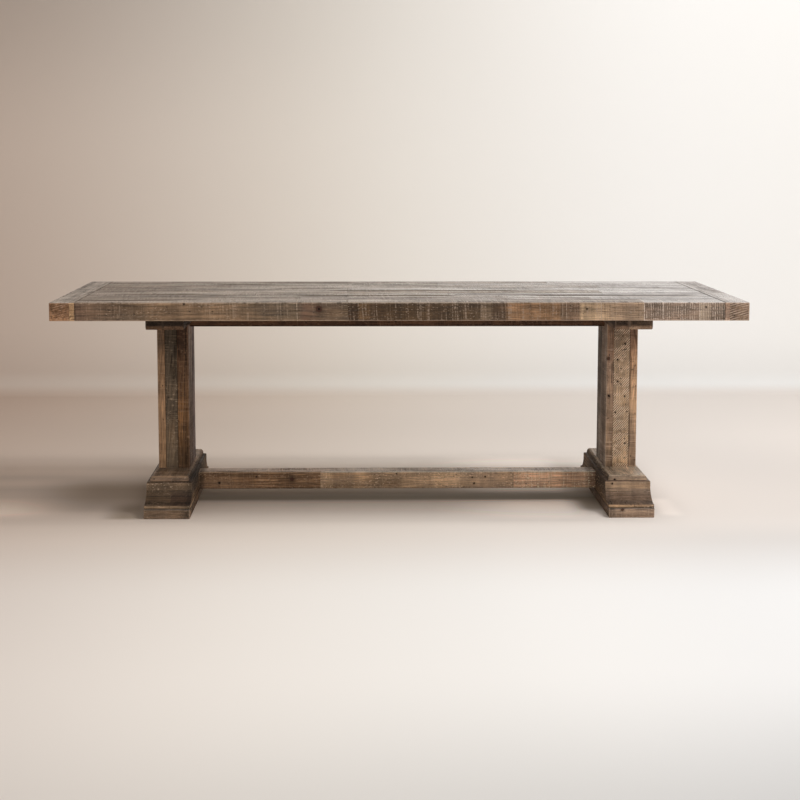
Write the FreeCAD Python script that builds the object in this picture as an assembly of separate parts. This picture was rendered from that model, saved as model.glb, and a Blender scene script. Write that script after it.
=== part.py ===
import FreeCAD, Part
import math
import os

# Trestle dining table in reclaimed pine, in millimetres.
# X runs along the table, Y from front to back and Z up. The origin is on the floor, under the
# middle of the top. Left and right are as seen from the front.

# Whole table
table_length = 2376.0
table_width = 1016.0
table_height = 762.0
trestle_inset = 378.0

# Table top: rows of planks between two breadboard ends
top_thickness = 63.5
end_strip_width = 18.0
end_board_width = 68.0
top_arris_radius = 6.0
top_underside_radius = 3.5
top_corner_radius = 5.0
joint_bevel = 0.8

# Widths of the plank rows from front to back, as shares of the table width
row_width_shares = (0.118, 0.094, 0.087, 0.108, 0.126, 0.140, 0.116, 0.104, 0.107)

# Places of the butt joints in each row, as shares of the half length between the breadboard ends
row_joint_shares = (
    (-0.162, 0.750),
    (-0.314, 0.602),
    (-0.165, 0.346),
    (-0.209, 0.163),
    (-0.165, 0.670),
    (-0.166,),
    (-0.569, 0.694),
    (0.145,),
    (-0.159, 0.535),
)

# Posts: three laminations, with board widths as shares of the post width, from outer to inner
post_width = 112.0
post_depth = 250.0
post_arris = 2.5
left_post_shares = (0.243, 0.385, 0.372)
right_post_shares = (0.250, 0.520, 0.230)
post_inner_front_share = 0.55

# Post tenons, cut on the middle lamination
tenon_side_shoulder = 3.0
tenon_edge_shoulder = 35.0
tenon_end_gap = 2.0
foot_mortise_wall = 10.0
cleat_mortise_wall = 9.0

# Cleats under the top
cleat_overhang = 10.0
cleat_thickness = 41.0
cleat_setback = 111.0
cleat_end_bevel = 10.0
cleat_arris = 2.0
left_cleat_inner_share = 0.55
right_cleat_inner_share = 0.38

# Feet: base block, ogee body and cap moulding
foot_setback = 84.0
foot_base_height = 34.0
foot_body_height = 79.0
foot_cap_height = 18.0
foot_arris = 3.0
bead_setback = 12.0
bead_height = 11.0
bead_step = 7.0
cove_rise = 40.0
neck_setback = 104.0
neck_roundover_radius = 10.0
cap_ledge = 11.0
cap_fillet_height = 4.0
cap_slope_width = 8.0
cap_margin = 5.0
left_foot_outer_share = 0.55
right_foot_outer_share = 0.43

# Low stretcher: a facing on a thick back board
stretcher_height = 61.5
stretcher_depth = 96.0
stretcher_floor_gap = 38.5
stretcher_facing_thickness = 27.0
stretcher_arris = 2.5
facing_joint_shares = (-0.388, 0.586)
stretcher_tenon_length = 25.0
stretcher_tenon_seam_shoulder = 6.0
stretcher_tenon_shoulder = 12.0

# Upper rail under the top
upper_rail_height = 61.5
upper_rail_depth = 96.0
upper_rail_arris = 2.5
rail_tenon_length = 18.0
rail_tenon_side_shoulder = 10.0
rail_tenon_lower_shoulder = 4.0

# Fits and cuts
fastener_clearance = 0.3
thread_clearance = 0.2
cut_overrun = 2.0

# Loose tenons of the breadboard ends, one per plank row
end_tenon_thickness = 16.0
end_tenon_margin = 22.0
end_tenon_in_planks = 50.0
end_tenon_in_board = 44.0

# Hexagon-head screws that hold the top on the cleats
top_screw_radius = 4.0
top_screw_head_across_flats = 13.0
top_screw_head_height = 5.5
top_screw_in_plank = 45.0
top_counterbore_radius = 11.0
top_counterbore_depth = 12.0

# Plank rows over a top screw, counted from the front, and the cleat board that the screw goes through
screwed_rows = ((1, "outer"), (2, "inner"), (6, "outer"), (7, "inner"))

# Bolts, washers and square nuts that hold the stretcher in the feet
stretcher_bolt_radius = 5.0
stretcher_bolt_head_radius = 8.0
stretcher_bolt_head_height = 10.0
stretcher_bolt_socket_across_flats = 8.0
stretcher_bolt_socket_depth = 5.0
stretcher_bolt_past_nut = 12.0
stretcher_washer_radius = 15.0
stretcher_washer_thickness = 2.5
foot_counterbore_radius = 17.0
foot_counterbore_depth = 40.0
square_nut_width = 24.0
square_nut_thickness = 10.0
square_nut_inset = 40.0

# Sizes that follow from the ones above
half_length = table_length / 2
half_width = table_width / 2
end_width = end_strip_width + end_board_width
field_half_length = half_length - end_width
top_underside = table_height - top_thickness
top_middle = table_height - top_thickness / 2
trestle_distance = half_length - trestle_inset

cleat_width = post_width + 2 * cleat_overhang
cleat_underside = top_underside - cleat_thickness
cleat_half_length = half_width - cleat_setback

foot_width = post_width + 2 * (cap_margin + cap_slope_width + cap_ledge)
foot_half_length = half_width - foot_setback
foot_body_top = foot_base_height + foot_body_height
foot_height = foot_body_top + foot_cap_height
bead_half_length = foot_half_length - bead_setback
neck_half_length = foot_half_length - neck_setback

stretcher_half_length = trestle_distance - foot_width / 2
stretcher_top = stretcher_floor_gap + stretcher_height
stretcher_middle = stretcher_floor_gap + stretcher_height / 2
upper_rail_half_length = trestle_distance - post_width / 2
upper_rail_underside = top_underside - upper_rail_height

# Ways to finish a corner of an outline
SQUARE = ("square", 0.0)
JOINT = ("bevel", joint_bevel)
TOP_ARRIS = ("round", top_arris_radius)
TOP_UNDERSIDE = ("round", top_underside_radius)
TOP_CORNER = ("round", top_corner_radius)
POST_ARRIS = ("bevel", post_arris)
CLEAT_ARRIS = ("bevel", cleat_arris)
CLEAT_END = ("bevel", cleat_end_bevel)
FOOT_ARRIS = ("bevel", foot_arris)
STRETCHER_ARRIS = ("bevel", stretcher_arris)
RAIL_ARRIS = ("bevel", upper_rail_arris)


# Outlines and blocks

def in_end_view(x):
    """Place an outline drawn in (y, z) at this x."""
    return lambda y, z: FreeCAD.Vector(x, y, z)


def in_front_view(y):
    """Place an outline drawn in (x, z) at this y."""
    return lambda x, z: FreeCAD.Vector(x, y, z)


def in_plan(z):
    """Place an outline drawn in (x, y) at this z."""
    return lambda x, y: FreeCAD.Vector(x, y, z)


def rectangle_outline(low, high, finishes, place):
    """Face of a rectangle whose four square corners are each kept, bevelled or rounded."""
    corners = (
        (low[0], low[1]),
        (high[0], low[1]),
        (high[0], high[1]),
        (low[0], high[1]),
    )
    directions = ((1, 0), (0, 1), (-1, 0), (0, -1))
    edges = []
    first_point = None
    last_point = None
    for index, (u, v) in enumerate(corners):
        kind, size = finishes[index]
        ahead = directions[index]
        back = (-directions[index - 1][0], -directions[index - 1][1])
        entry = place(u + back[0] * size, v + back[1] * size)
        leave = place(u + ahead[0] * size, v + ahead[1] * size)
        if last_point is None:
            first_point = entry
        else:
            edges.append(Part.makeLine(last_point, entry))
        if kind == "round":
            pull = size * (1 - math.sqrt(0.5))
            middle = place(u + (back[0] + ahead[0]) * pull, v + (back[1] + ahead[1]) * pull)
            edges.append(Part.Arc(entry, middle, leave).toShape())
        elif kind == "bevel":
            edges.append(Part.makeLine(entry, leave))
        last_point = leave
    edges.append(Part.makeLine(last_point, first_point))
    return Part.Face(Part.Wire(edges))


def eased_block(low, high, end_view=None, front_view=None, plan=None):
    """Block between two corners, as the common part of up to three outlines that run through it.

    end_view lists the finishes of front bottom, back bottom, back top and front top, front_view those of
    left bottom, right bottom, right top and left top, and plan those of left front, right front, right back
    and left back.
    """
    x0, y0, z0 = low
    x1, y1, z1 = high
    solids = []
    if end_view:
        face = rectangle_outline((y0, z0), (y1, z1), end_view, in_end_view(x0))
        solids.append(face.extrude(FreeCAD.Vector(x1 - x0, 0, 0)))
    if front_view:
        face = rectangle_outline((x0, z0), (x1, z1), front_view, in_front_view(y0))
        solids.append(face.extrude(FreeCAD.Vector(0, y1 - y0, 0)))
    if plan:
        face = rectangle_outline((x0, y0), (x1, y1), plan, in_plan(z0))
        solids.append(face.extrude(FreeCAD.Vector(0, 0, z1 - z0)))
    block = solids[0]
    for solid in solids[1:]:
        block = block.common(solid)
    return block


def plain_box(low, high):
    """Square-edged box between two corners."""
    corner = FreeCAD.Vector(*low)
    return Part.makeBox(high[0] - low[0], high[1] - low[1], high[2] - low[2], corner)


def rod(start, end, radius):
    """Round rod from one point to another, also used as a drill."""
    axis = FreeCAD.Vector(*end) - FreeCAD.Vector(*start)
    return Part.makeCylinder(radius, axis.Length, FreeCAD.Vector(*start), axis)


def ring(start, end, radius, bore_radius):
    """Washer from one point to another."""
    return rod(start, end, radius).cut(rod(start, end, bore_radius))


def hexagon_bar(start, end, across_flats):
    """Six-sided bar along X or Z from one point to another."""
    axis = FreeCAD.Vector(*end) - FreeCAD.Vector(*start)
    sideways = FreeCAD.Vector(0, 1, 0)
    upright = axis.cross(sideways).normalize()
    reach = across_flats / 2 / math.cos(math.pi / 6)
    points = []
    for corner in range(7):
        angle = corner * math.pi / 3
        offset = sideways * math.cos(angle) + upright * math.sin(angle)
        points.append(FreeCAD.Vector(*start) + offset * reach)
    return Part.Face(Part.makePolygon(points)).extrude(axis)


def span(side, near, far):
    """X range of a piece that reaches from near to far on one side of the table's middle."""
    return (near, far) if side > 0 else (-far, -near)


def by_side(side, inner, outer):
    """Put an inner and an outer finish in left to right order."""
    return (inner, outer) if side > 0 else (outer, inner)


# Every piece by the name of its file. A cut is a word that the names of the pieces it may reach have
# in them, and the solid that is taken out of those pieces.
pieces = {}
cuts = []


def cut_wood():
    """Take every hole, counterbore and mortise out of each wooden piece that it reaches."""
    for name, piece in pieces.items():
        reached = [tool for word, tool in cuts if word in name and tool.BoundBox.intersect(piece.BoundBox)]
        if reached:
            pieces[name] = piece.cut(reached)


# Table top

def plank_row_edges():
    """Y of the edges of the plank rows, from the front edge to the back edge."""
    total = sum(row_width_shares)
    edges = [-half_width]
    for share in row_width_shares:
        edges.append(edges[-1] + table_width * share / total)
    return edges


row_edges = plank_row_edges()
row_middles = [(front + back) / 2 for front, back in zip(row_edges, row_edges[1:])]


def make_plank_row(row):
    """The boards of one row, end to end between the breadboard ends."""
    last_row = len(row_width_shares) - 1
    front_bottom = TOP_UNDERSIDE if row == 0 else JOINT
    front_top = TOP_ARRIS if row == 0 else JOINT
    back_bottom = TOP_UNDERSIDE if row == last_row else JOINT
    back_top = TOP_ARRIS if row == last_row else JOINT
    joints = [share * field_half_length for share in row_joint_shares[row]]
    ends = [-field_half_length, *joints, field_half_length]
    places = ("left", "middle", "right") if len(joints) == 2 else ("left", "right")
    for place, left, right in zip(places, ends, ends[1:]):
        pieces[f"top_plank_{row + 1}_{place}"] = eased_block(
            (left, row_edges[row], top_underside),
            (right, row_edges[row + 1], table_height),
            end_view=(front_bottom, back_bottom, back_top, front_top),
            front_view=(JOINT, JOINT, JOINT, JOINT),
        )


def make_breadboard_end(side):
    """Inner strip and outer board across the ends of the planks."""
    word = "right" if side > 0 else "left"
    across = (TOP_UNDERSIDE, TOP_UNDERSIDE, TOP_ARRIS, TOP_ARRIS)
    strip = span(side, field_half_length, field_half_length + end_strip_width)
    pieces[f"{word}_end_inner_strip"] = eased_block(
        (strip[0], -half_width, top_underside),
        (strip[1], half_width, table_height),
        end_view=across,
        front_view=(JOINT, JOINT, JOINT, JOINT),
    )
    board = span(side, field_half_length + end_strip_width, half_length)
    bottom = by_side(side, JOINT, TOP_UNDERSIDE)
    top = by_side(side, JOINT, TOP_ARRIS)
    corner = by_side(side, SQUARE, TOP_CORNER)
    pieces[f"{word}_end_outer_board"] = eased_block(
        (board[0], -half_width, top_underside),
        (board[1], half_width, table_height),
        end_view=across,
        front_view=(*bottom, *reversed(top)),
        plan=(*corner, *reversed(corner)),
    )


def make_breadboard_tenons():
    """One loose tenon per plank row at each end, through the inner strip into the outer board."""
    half_thickness = end_tenon_thickness / 2
    tenons = []
    for side in (-1, 1):
        near = field_half_length - end_tenon_in_planks
        far = field_half_length + end_strip_width + end_tenon_in_board
        x = span(side, near, far)
        for front, back in zip(row_edges, row_edges[1:]):
            low = (x[0], front + end_tenon_margin, top_middle - half_thickness)
            high = (x[1], back - end_tenon_margin, top_middle + half_thickness)
            tenons.append(plain_box(low, high))
            mortise_low = (x[0] - tenon_end_gap, low[1], low[2])
            mortise_high = (x[1] + tenon_end_gap, high[1], high[2])
            cuts.append(("", plain_box(mortise_low, mortise_high)))
    return Part.makeCompound(tenons)


# Trestles

def make_post(side, shares):
    """Three laminations across X; the middle one carries the tenons."""
    word = "right" if side > 0 else "left"
    edges = [trestle_distance + post_width / 2]
    for share in shares:
        edges.append(edges[-1] - post_width * share / sum(shares))
    half_depth = post_depth / 2

    outer = span(side, edges[1], edges[0])
    outer_corners = by_side(side, JOINT, POST_ARRIS)
    pieces[f"{word}_post_outer_board"] = eased_block(
        (outer[0], -half_depth, foot_height),
        (outer[1], half_depth, cleat_underside),
        plan=(*outer_corners, *reversed(outer_corners)),
    )

    core = span(side, edges[2], edges[1])
    core_board = eased_block(
        (core[0], -half_depth, foot_height),
        (core[1], half_depth, cleat_underside),
        plan=(JOINT, JOINT, JOINT, JOINT),
    )
    tenon_x = (core[0] + tenon_side_shoulder, core[1] - tenon_side_shoulder)
    tenon_half_depth = half_depth - tenon_edge_shoulder
    bolt_hole_top = stretcher_middle + stretcher_bolt_radius + fastener_clearance
    foot_mortise_floor = bolt_hole_top + foot_mortise_wall
    foot_tenon = plain_box(
        (tenon_x[0], -tenon_half_depth, foot_mortise_floor + tenon_end_gap),
        (tenon_x[1], tenon_half_depth, foot_height),
    )
    cleat_mortise_end = top_underside - cleat_mortise_wall
    cleat_tenon = plain_box(
        (tenon_x[0], -tenon_half_depth, cleat_underside),
        (tenon_x[1], tenon_half_depth, cleat_mortise_end - tenon_end_gap),
    )
    pieces[f"{word}_post_core_board"] = core_board.fuse([foot_tenon, cleat_tenon]).removeSplitter()
    foot_mortise = plain_box(
        (tenon_x[0], -tenon_half_depth, foot_mortise_floor),
        (tenon_x[1], tenon_half_depth, foot_height + cut_overrun),
    )
    cleat_mortise = plain_box(
        (tenon_x[0], -tenon_half_depth, cleat_underside - cut_overrun),
        (tenon_x[1], tenon_half_depth, cleat_mortise_end),
    )
    cuts.append(("_foot_", foot_mortise))
    cuts.append(("_cleat_", cleat_mortise))

    inner = span(side, edges[3], edges[2])
    seam = -half_depth + post_depth * post_inner_front_share
    inner_front = by_side(side, POST_ARRIS, JOINT)
    pieces[f"{word}_post_inner_front_board"] = eased_block(
        (inner[0], -half_depth, foot_height),
        (inner[1], seam, cleat_underside),
        plan=(*inner_front, JOINT, JOINT),
    )
    pieces[f"{word}_post_inner_back_board"] = eased_block(
        (inner[0], seam, foot_height),
        (inner[1], half_depth, cleat_underside),
        plan=(JOINT, JOINT, *reversed(inner_front)),
    )


def make_cleat(side, inner_share):
    """Two boards side by side under the top, with bevelled lower ends, screwed up into the planks."""
    word = "right" if side > 0 else "left"
    near = trestle_distance - cleat_width / 2
    seam = near + cleat_width * inner_share
    far = trestle_distance + cleat_width / 2
    for name, start, end in (("inner", near, seam), ("outer", seam, far)):
        x = span(side, start, end)
        inner_finish = CLEAT_ARRIS if name == "inner" else JOINT
        outer_finish = CLEAT_ARRIS if name == "outer" else JOINT
        bottom = by_side(side, inner_finish, outer_finish)
        pieces[f"{word}_cleat_{name}_board"] = eased_block(
            (x[0], -cleat_half_length, cleat_underside),
            (x[1], cleat_half_length, top_underside),
            end_view=(CLEAT_END, CLEAT_END, SQUARE, SQUARE),
            front_view=(*bottom, SQUARE, SQUARE),
        )
    middles = {"inner": side * (near + seam) / 2, "outer": side * (seam + far) / 2}
    for row, board in screwed_rows:
        make_top_screw(middles[board], row_middles[row])


def make_top_screw(x, y):
    """One screw up through the cleat into a plank, and the holes for it."""
    seat = (x, y, cleat_underside + top_counterbore_depth)
    head_start = (x, y, seat[2] - top_screw_head_height)
    point = (x, y, top_underside + top_screw_in_plank)
    head = hexagon_bar(head_start, seat, top_screw_head_across_flats)
    top_screws.append(head.fuse(rod(seat, point, top_screw_radius)))
    counterbore_start = (x, y, cleat_underside - cut_overrun)
    cuts.append(("", rod(counterbore_start, seat, top_counterbore_radius)))
    hole_end = (x, y, point[2] + fastener_clearance)
    cuts.append(("", rod(seat, hole_end, top_screw_radius + fastener_clearance)))


def cove_arc(sign):
    """Concave arc at one end of the foot, level where it leaves the bead and steeper up to the neck."""
    start_y = bead_half_length - bead_step
    run = start_y - neck_half_length
    radius = (run * run + cove_rise * cove_rise) / (2 * cove_rise)
    start_z = foot_base_height + bead_height
    half_turn = math.asin(run / radius) / 2
    middle_y = start_y - radius * math.sin(half_turn)
    middle_z = start_z + radius * (1 - math.cos(half_turn))
    return (
        (sign * start_y, start_z),
        (sign * middle_y, middle_z),
        (sign * neck_half_length, start_z + cove_rise),
    )


def roundover_arc(sign):
    """Convex quarter arc from the neck onto the top of the foot's body."""
    radius = neck_roundover_radius
    centre_y = neck_half_length - radius
    centre_z = foot_body_top - radius
    reach = radius * math.sqrt(0.5)
    return (
        (sign * neck_half_length, centre_z),
        (sign * (centre_y + reach), centre_z + reach),
        (sign * centre_y, foot_body_top),
    )


def ogee_outline(x):
    """Face of the foot's body seen from its side: bead, step, cove, neck and roundover at both ends."""
    place = in_end_view(x)
    front_cove = cove_arc(-1)
    front_round = roundover_arc(-1)
    back_cove = cove_arc(1)
    back_round = roundover_arc(1)
    bead_top = foot_base_height + bead_height
    path = [
        ("line", (-bead_half_length, foot_base_height)),
        ("line", (-bead_half_length, bead_top)),
        ("line", front_cove[0]),
        ("arc", front_cove),
        ("line", front_round[0]),
        ("arc", front_round),
        ("line", back_round[2]),
        ("arc", tuple(reversed(back_round))),
        ("line", back_cove[2]),
        ("arc", tuple(reversed(back_cove))),
        ("line", (bead_half_length, bead_top)),
        ("line", (bead_half_length, foot_base_height)),
    ]
    return outline_from_path(path, place)


def cap_outline(half_width_of_cap, place):
    """Face of the cap moulding: a fillet, then an ovolo that rises to the flat top."""
    fillet_top = foot_body_top + cap_fillet_height
    rise = foot_height - fillet_top
    radius = (cap_slope_width * cap_slope_width + rise * rise) / (2 * cap_slope_width)
    half_turn = math.asin(rise / radius) / 2
    middle_in = radius * (1 - math.cos(half_turn))
    middle_up = radius * math.sin(half_turn)
    top_half_width = half_width_of_cap - cap_slope_width

    def ovolo(sign):
        return (
            (sign * half_width_of_cap, fillet_top),
            (sign * (half_width_of_cap - middle_in), fillet_top + middle_up),
            (sign * top_half_width, foot_height),
        )

    path = [
        ("line", (-half_width_of_cap, foot_body_top)),
        ("line", (-half_width_of_cap, fillet_top)),
        ("arc", ovolo(-1)),
        ("line", (top_half_width, foot_height)),
        ("arc", tuple(reversed(ovolo(1)))),
        ("line", (half_width_of_cap, foot_body_top)),
    ]
    return outline_from_path(path, place)


def outline_from_path(path, place):
    """Closed face from a list of line ends and three-point arcs."""
    edges = []
    first = path[0][1]
    last = first
    for kind, data in path[1:]:
        if kind == "line":
            edges.append(Part.makeLine(place(*last), place(*data)))
            last = data
        else:
            edges.append(Part.Arc(place(*data[0]), place(*data[1]), place(*data[2])).toShape())
            last = data[2]
    edges.append(Part.makeLine(place(*last), place(*first)))
    return Part.Face(Part.Wire(edges))


def make_foot(side, outer_share):
    """Base block, two ogee body boards and the cap moulding, stacked and glued."""
    word = "right" if side > 0 else "left"
    near = trestle_distance - foot_width / 2
    far = trestle_distance + foot_width / 2
    whole = span(side, near, far)
    pieces[f"{word}_foot_base"] = eased_block(
        (whole[0], -foot_half_length, 0),
        (whole[1], foot_half_length, foot_base_height),
        end_view=(FOOT_ARRIS, FOOT_ARRIS, FOOT_ARRIS, FOOT_ARRIS),
        front_view=(FOOT_ARRIS, FOOT_ARRIS, JOINT, JOINT),
        plan=(FOOT_ARRIS, FOOT_ARRIS, FOOT_ARRIS, FOOT_ARRIS),
    )

    seam = far - foot_width * outer_share
    for name, start, end in (("inner", near, seam), ("outer", seam, far)):
        x = span(side, start, end)
        ogee = ogee_outline(x[0]).extrude(FreeCAD.Vector(x[1] - x[0], 0, 0))
        top = by_side(side, FOOT_ARRIS, JOINT) if name == "inner" else by_side(side, JOINT, FOOT_ARRIS)
        eased = eased_block(
            (x[0], -foot_half_length, foot_base_height),
            (x[1], foot_half_length, foot_body_top),
            front_view=(JOINT, JOINT, *reversed(top)),
        )
        pieces[f"{word}_foot_{name}_body"] = ogee.common(eased)

    middle = side * trestle_distance
    cap_half_width = foot_width / 2 - cap_ledge
    cap_half_length = neck_half_length - cap_ledge
    along = cap_outline(cap_half_length, in_end_view(middle - cap_half_width))
    across = cap_outline(cap_half_width, lambda x, z: FreeCAD.Vector(middle + x, -cap_half_length, z))
    cap = along.extrude(FreeCAD.Vector(2 * cap_half_width, 0, 0))
    pieces[f"{word}_foot_cap"] = cap.common(across.extrude(FreeCAD.Vector(0, 2 * cap_half_length, 0)))


# Stretcher and upper rail

def make_stretcher():
    """Facing in three boards, glued on a thick back board that is tenoned into both feet."""
    front = -stretcher_depth / 2
    seam = front + stretcher_facing_thickness
    back = stretcher_depth / 2
    joints = [share * stretcher_half_length for share in facing_joint_shares]
    ends = [-stretcher_half_length, *joints, stretcher_half_length]
    for word, left, right in zip(("left", "middle", "right"), ends, ends[1:]):
        left_finish = SQUARE if word == "left" else JOINT
        right_finish = SQUARE if word == "right" else JOINT
        pieces[f"stretcher_facing_{word}"] = eased_block(
            (left, front, stretcher_floor_gap),
            (right, seam, stretcher_top),
            end_view=(STRETCHER_ARRIS, JOINT, JOINT, STRETCHER_ARRIS),
            front_view=(left_finish, right_finish, right_finish, left_finish),
        )
    back_board = eased_block(
        (-stretcher_half_length, seam, stretcher_floor_gap),
        (stretcher_half_length, back, stretcher_top),
        end_view=(JOINT, STRETCHER_ARRIS, STRETCHER_ARRIS, JOINT),
    )
    tenon_front = seam + stretcher_tenon_seam_shoulder
    tenon_back = back - stretcher_tenon_shoulder
    tenon_bottom = stretcher_floor_gap + stretcher_tenon_shoulder
    tenon_top = stretcher_top - stretcher_tenon_shoulder
    tenons = []
    for side in (-1, 1):
        tenon_end = stretcher_half_length + stretcher_tenon_length
        x = span(side, stretcher_half_length, tenon_end)
        tenons.append(plain_box((x[0], tenon_front, tenon_bottom), (x[1], tenon_back, tenon_top)))
        x = span(side, stretcher_half_length - cut_overrun, tenon_end + tenon_end_gap)
        mortise = plain_box((x[0], tenon_front, tenon_bottom), (x[1], tenon_back, tenon_top))
        cuts.append(("_foot_", mortise))
    pieces["stretcher_back_board"] = back_board.fuse(tenons).removeSplitter()


def make_stretcher_bolt(side):
    """Socket-head bolt from the outer side of a foot into a square nut let into the stretcher."""
    z = stretcher_middle
    outside = side * (trestle_distance + foot_width / 2)
    seat = outside - side * foot_counterbore_depth
    head_start = seat + side * stretcher_washer_thickness
    head_end = head_start + side * stretcher_bolt_head_height
    nut_x = side * (stretcher_half_length - square_nut_inset)
    tip = nut_x - side * stretcher_bolt_past_nut
    head = rod((head_start, 0, z), (head_end, 0, z), stretcher_bolt_head_radius)
    socket_end = (head_end - side * stretcher_bolt_socket_depth, 0, z)
    socket = hexagon_bar((head_end, 0, z), socket_end, stretcher_bolt_socket_across_flats)
    shank = rod((tip, 0, z), (head_start, 0, z), stretcher_bolt_radius)
    stretcher_bolts.append(head.cut(socket).fuse(shank))
    bore_radius = stretcher_bolt_radius + thread_clearance
    stretcher_washers.append(ring((seat, 0, z), (head_start, 0, z), stretcher_washer_radius, bore_radius))

    half_thickness = square_nut_thickness / 2
    half_nut = square_nut_width / 2
    nut = plain_box(
        (nut_x - half_thickness, -half_nut, z - half_nut),
        (nut_x + half_thickness, half_nut, z + half_nut),
    )
    bore_start = (nut_x - square_nut_thickness, 0, z)
    bore_end = (nut_x + square_nut_thickness, 0, z)
    square_nuts.append(nut.cut(rod(bore_start, bore_end, bore_radius)))

    gap = fastener_clearance
    pocket_low = (nut_x - half_thickness - gap, -half_nut - gap, stretcher_floor_gap - cut_overrun)
    pocket_high = (nut_x + half_thickness + gap, half_nut + gap, z + half_nut + gap)
    cuts.append(("stretcher_", plain_box(pocket_low, pocket_high)))
    counterbore_start = (outside + side * cut_overrun, 0, z)
    cuts.append(("_foot_", rod(counterbore_start, (seat, 0, z), foot_counterbore_radius)))
    bolt_hole_end = (tip - side * cut_overrun, 0, z)
    cuts.append(("", rod((seat, 0, z), bolt_hole_end, stretcher_bolt_radius + fastener_clearance)))


def make_upper_rail():
    """Rail under the top; its ends are notched to pass under the cleats and are tenoned into the posts."""
    half_depth = upper_rail_depth / 2
    rail = eased_block(
        (-upper_rail_half_length, -half_depth, upper_rail_underside),
        (upper_rail_half_length, half_depth, top_underside),
        end_view=(RAIL_ARRIS, RAIL_ARRIS, SQUARE, SQUARE),
    )
    cleat_face = trestle_distance - cleat_width / 2
    tenon_end = upper_rail_half_length + rail_tenon_length
    tenon_half_depth = half_depth - rail_tenon_side_shoulder
    tenon_bottom = upper_rail_underside + rail_tenon_lower_shoulder
    for side in (-1, 1):
        x = span(side, cleat_face, upper_rail_half_length + cut_overrun)
        notch = plain_box(
            (x[0], -half_depth - cut_overrun, cleat_underside),
            (x[1], half_depth + cut_overrun, top_underside + cut_overrun),
        )
        x = span(side, upper_rail_half_length, tenon_end)
        tenon = plain_box(
            (x[0], -tenon_half_depth, tenon_bottom),
            (x[1], tenon_half_depth, cleat_underside),
        )
        rail = rail.cut(notch).fuse(tenon)
        x = span(side, upper_rail_half_length - cut_overrun, tenon_end + tenon_end_gap)
        mortise = plain_box(
            (x[0], -tenon_half_depth, tenon_bottom),
            (x[1], tenon_half_depth, cleat_underside + cut_overrun),
        )
        cuts.append(("_post_inner_", mortise))
    pieces["upper_rail"] = rail.removeSplitter()


# The assembly: wood first, then its holes, and then the loose tenons and the metal
top_screws = []
stretcher_bolts = []
stretcher_washers = []
square_nuts = []

for row in range(len(row_width_shares)):
    make_plank_row(row)
for side in (-1, 1):
    make_breadboard_end(side)
make_post(-1, left_post_shares)
make_post(1, right_post_shares)
make_cleat(-1, left_cleat_inner_share)
make_cleat(1, right_cleat_inner_share)
make_foot(-1, left_foot_outer_share)
make_foot(1, right_foot_outer_share)
make_stretcher()
make_upper_rail()
end_tenons = make_breadboard_tenons()
for side in (-1, 1):
    make_stretcher_bolt(side)
cut_wood()

pieces["breadboard_loose_tenons"] = end_tenons
pieces["top_screws"] = Part.makeCompound(top_screws)
pieces["stretcher_bolts"] = Part.makeCompound(stretcher_bolts)
pieces["stretcher_bolt_washers"] = Part.makeCompound(stretcher_washers)
pieces["stretcher_square_nuts"] = Part.makeCompound(square_nuts)

os.makedirs("parts", exist_ok=True)
for name, piece in pieces.items():
    piece.exportStep(f"parts/{name}.step")
    print(name, len(piece.Solids), "solid", "valid" if piece.isValid() else "not valid")
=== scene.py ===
import bpy
import math
from mathutils import Matrix, Vector


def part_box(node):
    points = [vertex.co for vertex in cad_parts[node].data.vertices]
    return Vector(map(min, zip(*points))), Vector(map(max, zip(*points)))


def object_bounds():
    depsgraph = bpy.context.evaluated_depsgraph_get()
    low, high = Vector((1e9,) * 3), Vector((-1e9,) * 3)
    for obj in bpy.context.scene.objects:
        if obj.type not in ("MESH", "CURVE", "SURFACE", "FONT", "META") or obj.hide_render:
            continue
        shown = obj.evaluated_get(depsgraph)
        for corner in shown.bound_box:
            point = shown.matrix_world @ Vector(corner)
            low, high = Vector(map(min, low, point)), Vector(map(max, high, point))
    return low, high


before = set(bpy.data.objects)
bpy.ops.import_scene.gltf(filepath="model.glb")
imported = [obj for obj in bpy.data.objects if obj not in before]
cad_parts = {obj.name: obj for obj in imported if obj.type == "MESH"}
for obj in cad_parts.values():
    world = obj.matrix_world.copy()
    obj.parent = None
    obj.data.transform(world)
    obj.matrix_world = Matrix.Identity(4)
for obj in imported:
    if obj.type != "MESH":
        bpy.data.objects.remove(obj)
cad_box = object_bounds()


# Plank rows of the top
# Nine rows of sawn pine planks from old buildings, glued edge to edge and butted end to end.
# Each plank keeps its own tone, grain, saw marks, knots and nail holes under a dry matt wax.

def display(red, green, blue):
    """Linear colour for one given as a screen shows it, from 0 to 255."""
    shares = [level / 255 for level in (red, green, blue)]
    linear = [s / 12.92 if s <= 0.04045 else ((s + 0.055) / 1.055) ** 2.4 for s in shares]
    return (*linear, 1.0)


class Signal:
    """Output of a shader node. Arithmetic with it adds math nodes, or vector math nodes for vectors."""

    def __init__(self, socket):
        self.socket = socket
        self.tree = socket.id_data

    def __add__(self, other):
        return combine("ADD", self, other)

    def __sub__(self, other):
        return combine("SUBTRACT", self, other)

    def __rsub__(self, other):
        return combine("SUBTRACT", other, self)

    def __mul__(self, other):
        scaled = is_vector(self) and not is_vector(other)
        return combine("SCALE" if scaled else "MULTIPLY", self, other)

    def __truediv__(self, other):
        return combine("DIVIDE", self, other)

    def __abs__(self):
        return combine("ABSOLUTE", self)

    __radd__ = __add__


def is_vector(value):
    """Whether a value is a vector or a colour, and not a single number."""
    return isinstance(value, tuple) or (isinstance(value, Signal) and value.socket.type != "VALUE")


def tree_of(*values):
    """Shader tree of the signals among some values."""
    return next(value.tree for value in values if isinstance(value, Signal))


def feed(socket, value):
    """Link a socket to a signal, or set it."""
    if isinstance(value, Signal):
        value.tree.links.new(value.socket, socket)
    else:
        socket.default_value = value


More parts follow.
